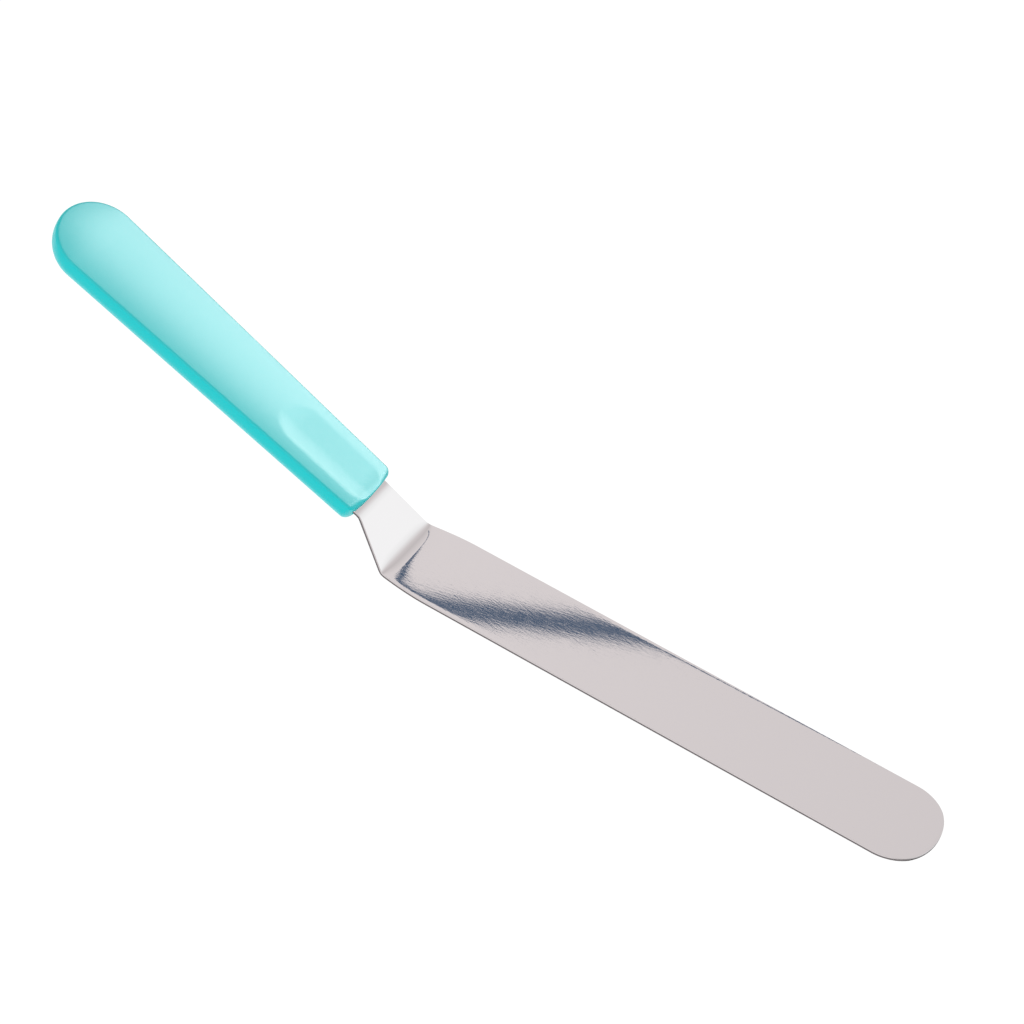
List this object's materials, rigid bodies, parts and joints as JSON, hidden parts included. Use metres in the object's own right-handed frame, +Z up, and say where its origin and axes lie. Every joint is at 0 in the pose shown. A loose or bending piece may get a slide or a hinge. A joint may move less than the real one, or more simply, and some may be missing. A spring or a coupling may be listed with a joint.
{
  "type": "offset palette knife",
  "caption": "Offset palette knife with a long round-tipped flat steel blade, a cranked neck and a tapered plastic handle with a thumb rest.",
  "frame": {"origin": "centre of the box around the knife, at the level of the blade's underside, which is the surface it lies on", "axes": "+X along the blade towards its round tip, +Y across the blade, +Z up, square to the blade's flat face"},
  "size_m": [0.3244, 0.0326, 0.0614],
  "materials": {
    "polished_steel": "polished",
    "turquoise_plastic": "satin",
    "natural_plastic": "matte"
  },
  "bodies": {
    "root": {"blade_and_tang": "polished_steel", "handle": "turquoise_plastic", "tang_carrier": "natural_plastic"}
  },
  "joints": []
}
